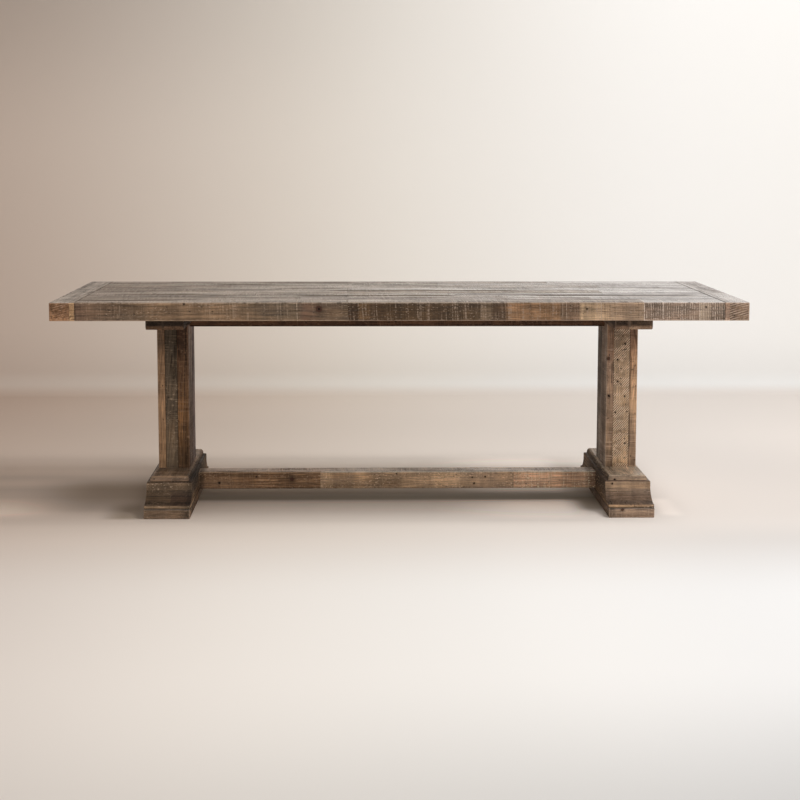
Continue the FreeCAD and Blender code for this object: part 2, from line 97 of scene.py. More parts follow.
def add_node(tree, kind, inputs=None, **settings):
    """Add a node with its settings and inputs."""
    made = tree.nodes.new(kind)
    for key, value in settings.items():
        setattr(made, key, value)
    for key, value in (inputs or {}).items():
        feed(made.inputs[key], value)
    return made


def signals(node):
    """All outputs of a node, by name."""
    return {output.name: Signal(output) for output in node.outputs}


def build(kind, output, inputs, **settings):
    """One output of a new node, in the tree that its inputs come from."""
    return Signal(add_node(tree_of(*inputs.values()), kind, inputs, **settings).outputs[output])


def combine(operation, *values):
    """Result of a math node, or of a vector math node where a value is a vector."""
    kind = "ShaderNodeVectorMath" if any(is_vector(value) for value in values) else "ShaderNodeMath"
    sockets = (0, 3) if operation == "SCALE" else range(len(values))
    return build(kind, 0, dict(zip(sockets, values)), operation=operation)


def least(*values):
    """The smaller of two values."""
    return combine("MINIMUM", *values)


def most(*values):
    """The greater of two values."""
    return combine("MAXIMUM", *values)


def length(vector):
    """Length of a vector."""
    return build("ShaderNodeVectorMath", "Value", {0: vector}, operation="LENGTH")


def ease(value, start, end, low=0.0, high=1.0):
    """Smooth step from low at start to high at end."""
    inputs = {"Value": value, "From Min": start, "From Max": end, "To Min": low, "To Max": high}
    return build("ShaderNodeMapRange", "Result", inputs, interpolation_type="SMOOTHSTEP")


def blend(factor, first, second, mode="MIX"):
    """Mix of two colours."""
    return build("ShaderNodeMix", 2, {0: factor, 6: first, 7: second}, data_type="RGBA", blend_type=mode)


def noise(vector, stretch, detail=2.0, roughness=0.5, output="Fac"):
    """Noise with its own number of features per metre along each axis."""
    inputs = {"Vector": vector * stretch, "Scale": 1.0, "Detail": detail, "Roughness": roughness}
    return build("ShaderNodeTexNoise", output, inputs)


def cells(vector, stretch):
    """Distance from the middle of cells of irregular shape, and each cell's own colour."""
    inputs = {"Vector": vector * stretch, "Scale": 1.0}
    return signals(add_node(vector.tree, "ShaderNodeTexVoronoi", inputs))


def split(vector):
    """The three parts of a vector."""
    return signals(add_node(vector.tree, "ShaderNodeSeparateXYZ", {"Vector": vector}))


def join(x, y, z):
    """Vector of three parts."""
    return build("ShaderNodeCombineXYZ", "Vector", {"X": x, "Y": y, "Z": z})


def ramp(value, stops):
    """Colour read between stops, each a place and a colour or level."""
    first, last = stops[0][0], stops[-1][0]
    share = build("ShaderNodeMapRange", "Result", {"Value": value, "From Min": first, "From Max": last})
    made = add_node(value.tree, "ShaderNodeValToRGB", {"Fac": share})
    elements = made.color_ramp.elements
    while len(elements) < len(stops):
        elements.new(1.0)
    for element, (place, colour) in zip(elements, stops):
        element.position = (place - first) / (last - first)
        element.color = colour if isinstance(colour, tuple) else (colour, colour, colour, 1.0)
    return Signal(made.outputs["Color"])


def new_group(name, inputs, outputs):
    """Empty shader group, with its named inputs at their usual values and its named outputs."""
    tree = bpy.data.node_groups.new(name, "ShaderNodeTree")
    for label, value in inputs.items():
        kind = "NodeSocketVector" if isinstance(value, tuple) else "NodeSocketFloat"
        tree.interface.new_socket(label, in_out="INPUT", socket_type=kind).default_value = value
    for label in outputs:
        tree.interface.new_socket(label, in_out="OUTPUT", socket_type="NodeSocketFloat")
    return tree, signals(tree.nodes.new("NodeGroupInput")), tree.nodes.new("NodeGroupOutput").inputs


def use_group(group, **inputs):
    """Outputs of a group placed in the tree that its inputs come from."""
    made = add_node(tree_of(*inputs.values()), "ShaderNodeGroup", node_tree=group)
    for label, value in inputs.items():
        feed(made.inputs[label.replace("_", " ").capitalize()], value)
    return signals(made)


def new_material(name):
    """Empty material, and its shader tree."""
    material = bpy.data.materials.new(name)
    material.use_nodes = True
    material.node_tree.nodes.clear()
    return material, material.node_tree


def clothe(node, material):
    """Give a CAD piece its only material."""
    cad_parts[node].data.materials.clear()
    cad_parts[node].data.materials.append(material)


def seeded(vector, seed):
    """Move a board's pattern to another part of the noise."""
    return vector + join(seed * 1.7, seed * 0.93, seed)


ORIGIN = (0.0, 0.0, 0.0)
MIDDLE_GREY = (0.5, 0.5, 0.5)


def make_grain_group():
    """Growth rings round a pith that leans across the board, knots, streaks, fibres and drying cracks.

    The board runs along X. Rings come out as arcs on its ends, and as lines and arches on its faces.
    """
    tree, given, result = new_group(
        "pine_grain",
        {
            "Vector": ORIGIN,
            "Seed": 0.0,
            "Ring spacing": 0.004,
            "Pith": (0.0, 0.03, -0.06), "Lean": (0.0, 0.02, 0.03), "Wobble": 0.02, "Knots": 0.1,
        },
        ("Ring", "Streak", "Fibre", "Crack", "Knot", "Rim"),
    )
    board = given["Vector"]
    moved = seeded(board, given["Seed"])
    knot_cells = cells(moved, (6.0, 11.0, 11.0))
    away = knot_cells["Distance"]
    here = combine("LESS_THAN", split(knot_cells["Color"])["X"], given["Knots"])
    feed(result["Knot"], ease(away, 0.12, 0.08) * here)
    feed(result["Rim"], ease(abs(away - 0.125), 0.035, 0.0) * here)

    drift = (noise(moved, (1.6, 7.0, 7.0), output="Color") - MIDDLE_GREY) * given["Wobble"]
    place = board + drift - given["Pith"] - given["Lean"] * split(board)["X"]
    radius = length(place * (0.0, 1.0, 1.0))
    radius = ease(away, 0.34, 0.1) * here * 0.016 + radius
    turn = radius / given["Ring spacing"]
    turn = noise(join(turn, 0.0, given["Seed"]), (0.23, 1.0, 1.0)) * 3.0 + turn
    share = combine("FRACT", turn)
    late = ease(share, 0.25, 0.8) * ease(share, 1.0, 0.88)
    year = build("ShaderNodeTexWhiteNoise", "Value", {"W": combine("FLOOR", turn)}, noise_dimensions="1D")
    feed(result["Ring"], late * (year * 0.7 + 0.3))

    streak = noise(moved, (1.3, 46.0, 46.0), detail=4.0, roughness=0.6)
    feed(result["Streak"], ease(streak, 0.5, 0.7))
    feed(result["Fibre"], noise(moved, (13.0, 240.0, 240.0), detail=4.0, roughness=0.7))
    narrow = ease(abs(noise(moved, (1.7, 34.0, 34.0), detail=3.0) - 0.5), 0.022, 0.006)
    some = ease(noise(moved, (2.3, 7.0, 7.0)), 0.5, 0.6)
    feed(result["Crack"], narrow * some)
    return tree


def make_saw_group():
    """Marks that a saw leaves across the grain: broken ridges and grooves, and broad bands of tone.

    Marks is the direction square to the marks, Flip is the share of the board where they lean the other
    way, Spread is how far they show where the board is worn smooth, and Even is how regular they are.
    """
    tree, given, result = new_group(
        "saw_marks",
        {
            "Vector": ORIGIN,
            "Seed": 0.0, "Spacing": 0.009, "Marks": (1.0, 0.04, 0.04), "Flip": 0.0, "Spread": 0.2,
            "Even": 0.0,
        },
        ("Groove", "Ridge", "Band", "Patch"),
    )
    board = given["Vector"]
    moved = seeded(board, given["Seed"])
    part = split(board)
    turned = combine("LESS_THAN", noise(moved, (11.0, 9.0, 9.0)), given["Flip"])
    weighed = split(board * given["Marks"])
    place = (weighed["Y"] + weighed["Z"]) * (turned * -2.0 + 1.0) + weighed["X"]
    place = noise(moved, (5.0, 12.0, 12.0)) * 0.008 + place
    turn = place / given["Spacing"] + given["Seed"] * 3.1
    lines = noise(join(turn, part["Y"] * 7.0, part["Z"] * 7.0), (1.0, 1.0, 1.0), detail=1.0)
    wave = combine("SINE", turn * (2 * math.pi)) * 0.22 + 0.5
    lines = (wave - lines) * given["Even"] + lines
    broken = ease(noise(moved, (45.0, 17.0, 170.0), detail=2.0), 0.38, 0.6)
    worn = ease(noise(moved, (3.1, 8.0, 8.0), detail=3.0), 0.38, 0.6, given["Spread"], 1.0)
    feed(result["Ridge"], ease(lines, 0.53, 0.68) * broken * worn)
    feed(result["Groove"], ease(lines, 0.47, 0.32) * (broken * 0.6 + 0.4) * worn)
    feed(result["Band"], noise(moved, (17.0, 0.9, 0.9), detail=2.0, roughness=0.6))
    feed(result["Patch"], noise(moved, (2.6, 13.0, 13.0), detail=4.0, roughness=0.6))
    return tree


def make_age_group():
    """What years of use leave on any board: grey blotches, pale flecks, small pits and dark specks."""
    outputs = ("Grey", "Fleck", "Pit", "Speck")
    tree, given, result = new_group("age_marks", {"Vector": ORIGIN, "Seed": 0.0}, outputs)
    moved = seeded(given["Vector"], given["Seed"])
    grey = noise(moved, (1.9, 9.0, 9.0), detail=5.0, roughness=0.62)
    feed(result["Grey"], ease(grey, 0.38, 0.64))
    clump = ease(noise(moved, (6.0, 19.0, 19.0), detail=2.0), 0.4, 0.62, 0.25, 1.0)
    fine = noise(moved, (110.0, 60.0, 210.0), detail=2.5, roughness=0.65)
    feed(result["Fleck"], ease(fine, 0.57, 0.68) * clump)
    feed(result["Pit"], ease(fine, 0.42, 0.3) * clump)
    specks = cells(moved, (45.0, 75.0, 75.0))
    rare = combine("LESS_THAN", split(specks["Color"])["Y"], 0.12)
    feed(result["Speck"], ease(specks["Distance"], 0.24, 0.1) * rare)
    return tree


def make_edge_group():
    """How near a point on a box-shaped piece is to one of its edges, roughened a little."""
    inputs = {"Vector": ORIGIN, "Low": ORIGIN, "High": (1.0, 1.0, 1.0), "Width": 0.003, "Ragged": 0.5}
    tree, given, result = new_group("board_edges", inputs, ("Edge",))
    place = given["Vector"]
    near = split(least(place - given["Low"], given["High"] - place))
    middle = most(least(near["X"], near["Y"]), least(most(near["X"], near["Y"]), near["Z"]))
    rough = noise(place, (70.0, 70.0, 70.0), detail=4.0, roughness=0.7)
    reach = ((rough - 0.5) * given["Ragged"] + 0.5) * 2.0 * given["Width"]
    feed(result["Edge"], ease(middle / reach, 1.0, 0.4))
    return tree


def make_hole_group():
    """One old nail hole: the dark hole itself and the rust stain round it."""
    inputs = {"Vector": ORIGIN, "Place": ORIGIN, "Radius": 0.004}
    tree, given, result = new_group("nail_hole", inputs, ("Hole", "Stain"))
    ragged = noise(given["Vector"], (190.0, 190.0, 190.0), output="Color") - MIDDLE_GREY
    reach = length(given["Vector"] + ragged * 0.005 - given["Place"]) / given["Radius"]
    feed(result["Hole"], ease(reach, 1.1, 0.7))
    feed(result["Stain"], ease(reach, 2.4, 0.8))
    return tree


def make_kerf_group():
    """One deep saw kerf across a board, filled with pale dust that has come out in places."""
    inputs = {"Vector": ORIGIN, "Place": 0.0, "Width": 0.0016}
    tree, given, result = new_group("kerf_line", inputs, ("Line",))
    sway = noise(given["Vector"], (0.0, 18.0, 18.0)) - 0.5
    apart = sway * 0.004 + split(given["Vector"])["X"] - given["Place"]
    dust = ease(noise(given["Vector"], (40.0, 60.0, 190.0), detail=2.0), 0.36, 0.52)
    feed(result["Line"], ease(abs(apart) / given["Width"], 1.0, 0.4) * dust)
    return tree


grain_group = make_grain_group()
saw_group = make_saw_group()
age_group = make_age_group()
edge_group = make_edge_group()
hole_group = make_hole_group()
kerf_group = make_kerf_group()

# Usual looks of a board. Colours are as a screen shows them. top is the tone of its faces that are
# turned up, on some pieces raised as painted light and sheen, top_end the tone that this goes over into
# and from where to where along the table, flank that of its faces that are turned to the middle of the
# table, painted light and shade there, and flank_low the flank's painted tone near the floor and at the
# back. kerfs are places along the table. lines are quirks, joints and other bands across a piece: the
# axis and place across them, half their width and the shade in them; on the cleats, feet, stretcher and
# rail they are painted light and shade. worn is streaks along the upper face: their place across the
# table, half their width, where they start and end, and how much darker they are, or below 0 how much
# paler. wax is how thickly the upper face is polished. bands is how strongly broad bands of tone show,
# even how regular the saw marks are, and spread how far they reach.
USUAL_LOOK = {
    "top": (125, 109, 95), "top_end": None, "flank": None, "flank_low": None, "ring_spacing": 0.0045,
    "pith": (0.0, 0.02, -0.07), "lean": (0.0, 0.02, 0.035), "wobble": 0.022, "knots": 0.08,
    "rings": 0.5, "streaks": 0.45, "cracks": 0.5, "saw": 0.7, "saw_spacing": 0.0046,
    "marks": (1.0, 0.04, 0.04), "flip": 0.0, "even": 0.0, "spread": 0.2, "bands": 0.3, "grey": 0.3,
    "flecks": 0.85, "pits": 0.8, "seam": 0.6, "seam_width": 0.0022, "wear": 0.6, "wear_width": 0.0042,
    "holes": (), "spots": (), "kerfs": (), "lines": (), "worn": (), "stripes": (), "gloss": 0.3,
    "wax": 0.0,
}
HOLE_COLOUR = display(34, 22, 15)
STAIN_COLOUR = display(48, 32, 24)
KNOT_COLOUR = display(66, 36, 22)
SEAM_COLOUR = display(30, 21, 15)

# Order of the coordinates in which a board's grain runs along the first one
TURNED = {"x": ("X", "Y", "Z"), "y": ("Y", "X", "Z"), "z": ("Z", "X", "Y")}


def toned_levels(levels, share, towards_grey=0.0):
    """Screen levels made lighter or darker, and greyer."""
    grey = sum(levels) / 3
    return tuple(min(255.0, share * (level + (grey - level) * towards_grey)) for level in levels)


def toned(levels, share, towards_grey=0.0):
    """Linear colour of toned screen levels."""
    return display(*toned_levels(levels, share, towards_grey))


BUMP_DEPTH = 0.0012
BUMP_STRENGTH = 0.7
MATT_SPECULAR = 0.2
WAX_ROUGHNESS = 0.24
WAX_REFRACTION = 1.5
SHINIEST = 0.16
DULLEST = 0.95
LINE_FADE = 0.3
STREAK_END_FADE = 0.04
KERF_WIDTH = 0.0014


def finish_board(node, tint, along, seed, whole=None, **changes):
    """Give a pine board its own waxed and worn surface.

    along is the axis that its grain follows, or layered where it shows as level layers on all sides.
    whole is the box whose outer edges are worn pale, such as that of the whole top. The board's other
    edges are glue joints, which collect dark wax.
    """
    look = {**USUAL_LOOK, **changes}
    low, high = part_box(node)
    outer_low, outer_high = whole or (low, high)
    material, tree = new_material(f"pine_{node}")

    coordinates = signals(tree.nodes.new("ShaderNodeTexCoord"))
    position = coordinates["Object"]
    spot = split(position)
    facing = split(coordinates["Normal"])
    middle = (outer_low + outer_high) / 2 if along == "layered" else (low + high) / 2
    part = split(position - tuple(middle))
    if along == "layered":
        on_end = combine("GREATER_THAN", abs(facing["Y"]), 0.35)
        across = part["X"] - part["Y"]
        board = join(across * on_end + part["Y"], part["X"] - across * on_end, part["Z"])
    else:
        board = join(*(part[letter] for letter in TURNED[along]))
    upward = ease(facing["Z"], 0.45, 0.85)

    grain_traits = {key: look[key] for key in ("ring_spacing", "pith", "lean", "wobble", "knots")}
    grain = use_group(grain_group, vector=board, seed=seed, **grain_traits)
    saw_traits = {key: look[key] for key in ("marks", "flip", "spread", "even")}
    saw = use_group(saw_group, vector=board, seed=seed, spacing=look["saw_spacing"], **saw_traits)
    age = use_group(age_group, vector=board, seed=seed)
    beyond = Vector()
    if along in TURNED:
        beyond["xyz".index(along)] = look["seam_width"] * 0.7
    joint_box = {"low": tuple(low - beyond), "high": tuple(high + beyond)}
    joint = use_group(edge_group, vector=position, width=look["seam_width"], ragged=0.7, **joint_box)
    outer_box = {"low": tuple(outer_low), "high": tuple(outer_high)}
    rubbed = use_group(edge_group, vector=position, width=look["wear_width"], ragged=1.5, **outer_box)

    colour = display(*tint)
    if look["stripes"]:
        length_along = (high - low)["xyz".index(along)]
        share = part[along.upper()] / length_along + 0.5
        colour = ramp(share, [(place, display(*levels)) for place, levels in look["stripes"]])
    inward = -1.0 if low.x + high.x > 0 else 1.0
    sideways = ease(facing["X"] * inward, 0.35, 0.8)
    if look["flank"]:
        flank = display(*look["flank"])
        if look["flank_low"]:
            lower = most(ease(spot["Z"], 0.09, 0.04), ease(spot["Y"], 0.05, 0.25))
            flank = blend(lower, flank, display(*look["flank_low"]))
        colour = blend(sideways, colour, flank)
    upper = display(*look["top"])
    if look["top_end"]:
        levels, start, end = look["top_end"]
        upper = blend(ease(spot["X"], start, end), upper, display(*levels))
    colour = blend(upward, colour, upper)
    patch = ease(saw["Patch"], 0.35, 0.65, 0.66, 1.36)
    band = ease(saw["Band"], 0.34, 0.62, 1.0 - look["bands"], 1.0 + look["bands"] * 0.5)
    shade = patch * band * ease(grain["Fibre"], 0.3, 0.7, 0.58, 1.45)
    colour = blend(1.0, colour, join(shade, shade, shade), "MULTIPLY")

    flat = upward * -0.2 + 1.0
    dark = blend(upward, toned(tint, 0.46), toned(look["top"], 0.5))
    pale = blend(upward, toned(tint, 1.5, 0.35), toned(look["top"], 1.4, 0.2))
    grey = blend(upward, toned(tint, 1.12, 0.5), toned(look["top"], 1.08, 0.4))
    colour = blend(age["Grey"] * look["grey"], colour, grey)
    quirks = 0.0
    for axis, place, reach, shade in look["lines"]:
        quirk = ease(abs(spot[axis] - place), reach, reach * LINE_FADE)
        colour = blend(quirk, colour, blend(1.0, colour, (shade, shade, shade, 1.0), "MULTIPLY"))
        quirks = most(quirk * max(0.0, 1.0 - shade), quirks)
    # Dark streaks and pale streaks along the upper face.
    darker_streaks, paler_streaks = 0.0, 0.0
    for place, reach, start, end, depth in look["worn"]:
        apart = abs(spot["Y"] - place) * (saw["Patch"] * -1.2 + 1.6)
        streak = ease(apart, reach, reach * 0.5) * upward * abs(depth)
        streak = streak * ease(spot["X"], start - STREAK_END_FADE, start + STREAK_END_FADE)
        streak = streak * ease(spot["X"], end + STREAK_END_FADE, end - STREAK_END_FADE)
        streak = streak * ease(grain["Fibre"], 0.3, 0.55, 0.45, 1.0)
        if depth > 0:
            darker_streaks = most(streak, darker_streaks)
        else:
            paler_streaks = most(streak, paler_streaks)
    for mark, strength, tone in (
        (grain["Ring"], look["rings"], dark), (grain["Streak"], look["streaks"], dark),
        (saw["Groove"], flat * (look["saw"] * 0.5), dark),
        (saw["Ridge"], flat * look["saw"], pale),
        (age["Fleck"], flat * look["flecks"], pale),
        (age["Pit"], look["pits"], dark), (age["Speck"], 0.7, SEAM_COLOUR), (darker_streaks, 0.5, SEAM_COLOUR),
        (paler_streaks, 0.6, pale), (grain["Crack"], look["cracks"], SEAM_COLOUR),
        (grain["Knot"], 0.75, KNOT_COLOUR), (grain["Rim"], 0.8, SEAM_COLOUR),
    ):
        colour = blend(mark * strength, colour, tone)

    inner = joint["Edge"] * (1.0 - rubbed["Edge"]) * look["seam"]
    colour = blend(inner, colour, SEAM_COLOUR)
    colour = blend(rubbed["Edge"] * look["wear"], colour, pale)

    for place in look["kerfs"]:
        kerf = use_group(kerf_group, vector=position, place=place, width=KERF_WIDTH)
        colour = blend(kerf["Line"] * 0.7, colour, toned(tint, 1.7, 0.4))

    for x, y, z, radius in look["spots"]:
        mark = use_group(hole_group, vector=position, place=(x, y, z), radius=radius)
        colour = blend(mark["Stain"] * 0.35, colour, SEAM_COLOUR)
        colour = blend(mark["Hole"] * 0.85, colour, KNOT_COLOUR)
    holes = 0.0
    for x, y, z, radius in look["holes"]:
        mark = use_group(hole_group, vector=position, place=(x, y, z), radius=radius)
        colour = blend(mark["Stain"] * 0.4, colour, STAIN_COLOUR)
        colour = blend(mark["Hole"], colour, HOLE_COLOUR)
        holes = most(mark["Hole"], holes)

    height = grain["Fibre"] * 0.5
    for mark, rise in (
        (grain["Ring"], 0.2), (saw["Groove"], -0.6), (saw["Ridge"], 0.6), (age["Fleck"], 0.3),
        (age["Pit"], -0.5), (age["Speck"], -0.6), (grain["Crack"], -0.9), (grain["Rim"], -0.4),
        (inner, -0.7), (holes, -2.5),
    ):
        height = mark * rise + height
    relief = {"Height": height, "Strength": BUMP_STRENGTH, "Distance": BUMP_DEPTH}
    bump = build("ShaderNodeBump", "Normal", relief)

    shine = ease(saw["Patch"], 0.36, 0.64, look["gloss"] + 0.16, look["gloss"] - 0.08)
    shine = sideways * 0.3 + shine
    for mark, change in (
        (grain["Fibre"], 0.08), (grain["Streak"], 0.14), (saw["Groove"], 0.22), (saw["Ridge"], -0.08),
        (age["Fleck"], -0.06), (age["Pit"], 0.2), (darker_streaks, 0.6), (quirks, 0.5), (grain["Crack"], 0.4),
        (inner, 0.7), (holes, 0.5),
    ):
        shine = mark * change + shine
    shine = least(most(shine, SHINIEST), DULLEST)
    finish = {"Base Color": colour, "Roughness": shine, "Normal": bump, "Specular IOR Level": MATT_SPECULAR}
    if look["wax"]:
        thick = ease(saw["Patch"], 0.36, 0.62, 0.7, 1.0) * ease(grain["Fibre"], 0.32, 0.6, 0.45, 1.0)
        thick = most(thick, paler_streaks)
        for mark, share in (
            (grain["Streak"], 0.5), (grain["Ring"], 0.25), (grain["Crack"], 0.9), (saw["Groove"], 0.8),
            (age["Pit"], 0.7), (darker_streaks, 0.95), (quirks, 0.9), (inner, 1.0), (holes, 1.0),
        ):
            thick = thick * (mark * -share + 1.0)
        finish["Coat Weight"] = thick * upward * look["wax"]
        finish["Coat Roughness"] = WAX_ROUGHNESS
        finish["Coat IOR"] = WAX_REFRACTION
    surface = add_node(tree, "ShaderNodeBsdfPrincipled", finish)
    add_node(tree, "ShaderNodeOutputMaterial", {"Surface": Signal(surface.outputs["BSDF"])})
    clothe(node, material)


top_low = Vector(cad_box[0])
top_low.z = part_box("top_plank_1_left")[0].z
top_box = (top_low, Vector(cad_box[1]))

# From the front row to the back one, and left to right in each row: the tone, and what is special
PLANK_LOOKS = {
    "top_plank_1_left": (
        (128, 104, 81),
        {
            "rings": 0.45, "ring_spacing": 0.0056, "pith": (0.0, 0.035, -0.05),
            "lean": (0.0, 0.01, 0.022), "saw": 0.36, "knots": 0.0, "streaks": 0.35, "cracks": 0.25,
            "stripes": (
                (0.0, (142, 110, 89)), (0.06, (130, 103, 82)), (0.2, (126, 102, 80)),
                (0.26, (132, 106, 82)), (0.6, (136, 109, 83)), (0.815, (128, 104, 78)),
                (0.835, (132, 95, 72)), (0.9, (108, 84, 63)), (1.0, (98, 78, 58)),
            ),
            "kerfs": (-0.351,),
            "holes": (
                (-0.7322, -0.508, 0.7565, 0.0032), (-0.9011, -0.508, 0.7228, 0.002),
                (-0.2767, -0.508, 0.7393, 0.0045),
            ),
            "spots": ((-0.2767, -0.508, 0.7393, 0.0125),),
        },
    ),
    "top_plank_1_middle": (
        (112, 90, 71),
        {
            "saw": 0.72, "spread": 0.6, "grey": 0.1, "knots": 0.0, "bands": 0.2, "streaks": 0.15,
            "cracks": 0.05, "rings": 0.25,
            "stripes": (
                (0.0, (61, 42, 25)), (0.034, (59, 41, 24)), (0.04, (108, 82, 56)),
                (0.07, (105, 79, 53)), (0.078, (83, 61, 40)), (0.24, (87, 66, 44)),
                (0.27, (93, 71, 50)), (0.444, (88, 69, 50)), (0.452, (122, 101, 79)),
                (0.482, (118, 97, 76)), (0.49, (84, 63, 44)), (0.53, (98, 74, 54)),
                (0.545, (155, 117, 84)), (0.71, (150, 114, 82)), (0.722, (118, 93, 72)),
                (0.78, (138, 109, 86)), (0.79, (207, 174, 138)), (0.85, (198, 165, 131)),
                (0.93, (179, 148, 120)), (1.0, (186, 155, 126)),
            ),
            "kerfs": (0.0687, 0.176, 0.563, 0.667, 0.682, 0.823),
            "holes": ((0.6326, -0.508, 0.7388, 0.003),),
        },
    ),
    "top_plank_1_right": (
        (147, 125, 108),
        {
            "saw": 0.9, "saw_spacing": 0.0078, "even": 0.7, "spread": 0.7, "knots": 0.0, "bands": 0.1,
            "streaks": 0.15, "cracks": 0.05, "rings": 0.25,
            "stripes": (
                (0.0, (130, 107, 89)), (0.68, (132, 109, 91)), (0.7, (164, 143, 122)),
                (0.82, (162, 140, 119)), (0.84, (119, 98, 81)), (1.0, (132, 111, 93)),
            ),
            "kerfs": (0.829, 0.893, 0.957, 1.018), "holes": ((1.0381, -0.508, 0.7453, 0.0035),),
        },
    ),
    "top_plank_2_left": ((118, 102, 88), {}),
    "top_plank_2_middle": ((124, 104, 90), {"top": (112, 94, 82), "streaks": 0.6}),
    "top_plank_2_right": ((122, 108, 95), {}),
    "top_plank_3_left": ((116, 98, 80), {"top": (100, 84, 70), "streaks": 0.6}),
    "top_plank_3_middle": ((122, 106, 86), {}),
    "top_plank_3_right": ((122, 108, 95), {"top": (124, 110, 98)}),
    "top_plank_4_left": ((118, 102, 86), {"saw": 0.8}),
    "top_plank_4_middle": ((112, 92, 74), {"top": (106, 89, 73), "seam": 0.9, "seam_width": 0.0045}),
    "top_plank_4_right": ((124, 110, 98), {"seam": 0.95, "seam_width": 0.005}),
    "top_plank_5_left": ((120, 104, 84), {}),
    "top_plank_5_middle": ((134, 112, 88), {"top": (124, 105, 86), "seam": 0.9, "seam_width": 0.004}),
    "top_plank_5_right": ((130, 110, 96), {"top": (128, 111, 98)}),
    "top_plank_6_left": ((112, 94, 78), {"top": (102, 86, 72), "streaks": 0.6}),
    "top_plank_6_right": ((122, 106, 88), {"knots": 0.16}),
    "top_plank_7_left": ((124, 102, 86), {"top": (112, 94, 80)}),
    "top_plank_7_middle": ((118, 104, 90), {}),
    "top_plank_7_right": ((122, 106, 88), {}),
    "top_plank_8_left": ((116, 100, 80), {"top": (102, 88, 72), "saw": 0.75}),
    "top_plank_8_right": ((134, 114, 94), {}),
    "top_plank_9_left": ((116, 98, 80), {}),
    "top_plank_9_middle": ((120, 104, 86), {}),
    "top_plank_9_right": ((132, 112, 92), {}),
}
# Dark and pale streaks along the upper face, from the back to the front
TOP_STREAKS = (
    (0.448, 0.024, -0.524, -0.174, 0.9), (0.34, 0.024, -0.671, -0.48, 0.9),
    (0.179, 0.024, -0.155, 0.125, -0.5), (0.13, 0.022, -0.434, -0.211, 0.6),
    (0.128, 0.026, -0.173, 0.198, -1.0), (0.028, 0.027, -0.224, 0.414, 1.0),
    (-0.015, 0.022, -1.081, -0.936, 0.6), (-0.016, 0.022, -0.863, -0.646, -0.6),
    (-0.065, 0.026, -0.642, -0.082, -0.6), (-0.07, 0.024, 0.152, 0.333, -0.6),
    (-0.115, 0.022, -0.352, -0.083, -0.6), (-0.15, 0.028, -0.998, -0.706, 0.8),
    (-0.165, 0.024, 0.201, 1.043, 0.7), (-0.213, 0.028, -0.349, 0.181, 0.9),
    (-0.213, 0.028, 0.483, 1.052, 1.0), (-0.262, 0.026, 0.479, 1.062, -0.6),
    (-0.3, 0.024, -0.695, -0.416, 0.4), (-0.301, 0.022, 0.02, 0.142, 0.6),
    (-0.347, 0.024, 0.348, 0.731, -0.5), (-0.385, 0.024, -0.894, -0.688, 0.6),
    (-0.387, 0.024, -0.344, -0.034, -0.4), (-0.428, 0.022, -1.094, -0.787, 0.7),
)
PITH_STEP = 0.012
LEAN_STEP = 0.012
LEAN_ACROSS = 0.018
for count, (plank, (tint, special)) in enumerate(PLANK_LOOKS.items()):
    low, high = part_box(plank)
    # The heart of the tree lies elsewhere from plank to plank, so that their rings differ.
    side_of_pith = -1 if count % 2 else 1
    shared = {
        "pith": (0.0, PITH_STEP * side_of_pith * (count % 4), -0.05 - 0.011 * (count % 3)),
        "lean": (0.0, LEAN_ACROSS * side_of_pith, 0.03 + LEAN_STEP * (count % 5)),
        "wax": 0.75, "wear": 0.75,
        "worn": [
            (place, reach, start, end, depth)
            for place, reach, start, end, depth in TOP_STREAKS
            if low.y < place + reach and place - reach < high.y and low.x < end and start < high.x
        ],
    }
    if plank.endswith("right"):
        shared |= {"wax": 1.0, "gloss": 0.25, "seam": 0.8, "seam_width": 0.003}
        # The right planks' upper faces are paler, and paler still towards the right end: painted sheen.
        shared |= {"top": (134, 122, 114), "top_end": ((161, 153, 149), 0.5, 1.0)}
        shared["lines"] = (("X", high.x, 0.0055, 0.38),)
    if plank.endswith("left"):
        shared["lines"] = (("X", low.x, 0.006, 0.35),)
    finish_board(plank, tint, "x", seed=1.3 + 2.17 * count, whole=top_box, **{**shared, **special})


# Breadboard ends
# A narrow strip and a broad board are glued across the plank ends at each end of the top, and loose
# tenons tie them to the planks. Their own end grain shows on the front and back edges.

END_LOOKS = {
    "left_end_inner_strip": ((180, 139, 97), {"seam": 0.25, "saw": 0.2, "top": (124, 112, 100)}),
    "left_end_outer_board": (
        (154, 113, 81),
        {
            "seam": 0.3, "rings": 0.2, "saw": 0.6, "saw_spacing": 0.0075, "marks": (1.0, -0.29, 0.95),
            "even": 0.5, "spread": 0.6, "flecks": 0.5, "top": (166, 153, 141),
            "lines": (("Z", 0.757, 0.022, 0.8),),
        },
    ),
    # The right end's upper faces are paler than the board's own tone: painted sheen.
    "right_end_inner_strip": (
        (185, 147, 120),
        {
            "seam": 0.25, "top": (140, 128, 120), "gloss": 0.25, "saw": 0.2,
            "lines": (("X", 1.103, 0.0034, 0.3),),
        },
    ),
    "right_end_outer_board": (
        (137, 111, 90),
        {
            "rings": 0.15, "seam": 0.12, "saw": 1.0, "saw_spacing": 0.0074, "marks": (1.0, -0.29, 0.95),
            "even": 0.85, "spread": 1.0, "top": (148, 138, 132), "gloss": 0.25, "flecks": 0.4,
            "streaks": 0.12, "cracks": 0.1, "grey": 0.1,
        },
    ),
}
for count, (board, (tint, special)) in enumerate(END_LOOKS.items()):
    special = {"knots": 0.02, "ring_spacing": 0.0052, "wax": 0.8, **special}
    finish_board(board, tint, "y", seed=61.0 + 1.9 * count, whole=top_box, **special)
